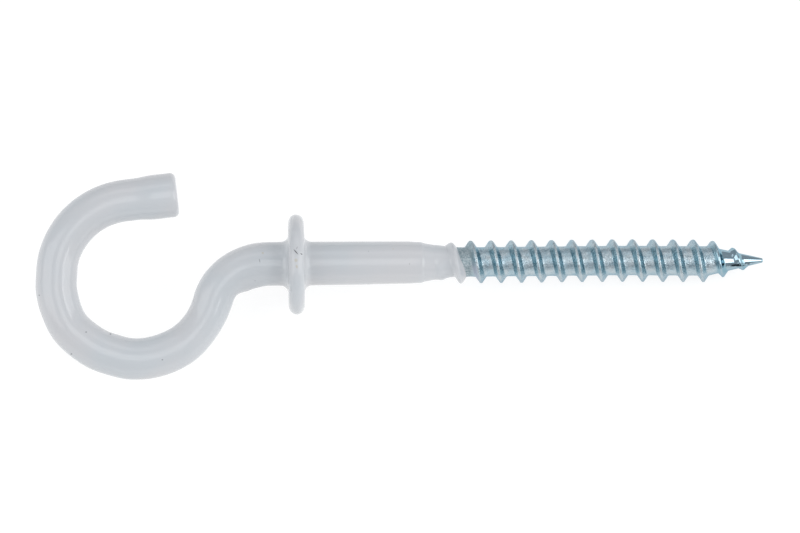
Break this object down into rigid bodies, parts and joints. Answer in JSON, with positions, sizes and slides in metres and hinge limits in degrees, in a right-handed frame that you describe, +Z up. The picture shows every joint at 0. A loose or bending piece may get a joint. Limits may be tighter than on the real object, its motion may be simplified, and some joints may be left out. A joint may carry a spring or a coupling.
{
  "type": "screw hook",
  "caption": "Open screw hook of bent steel wire with a collar and a wood-screw thread, dipped in white plastic down to the first turn of the thread.",
  "frame": {"origin": "middle of the collar's seat, the face that meets the wall, on the screw's axis", "axes": "the hook lies as it comes to rest on a table, with +Z up, on the thread's last full crest, the collar's rim and the back of the eye; +X runs towards the screw's point, whose axis slopes 3.91 degrees down, and the eye's plane is rolled 25.27 degrees about that axis, mouth upwards; +Y is the side on which the eye is open"},
  "size_m": [0.1001, 0.0262, 0.0152],
  "materials": {
    "zinc_plated_steel": "satin",
    "white_plastic_coat": "gloss"
  },
  "bodies": {
    "root": {"steel_hook": "zinc_plated_steel", "plastic_coat": "white_plastic_coat"}
  },
  "joints": []
}
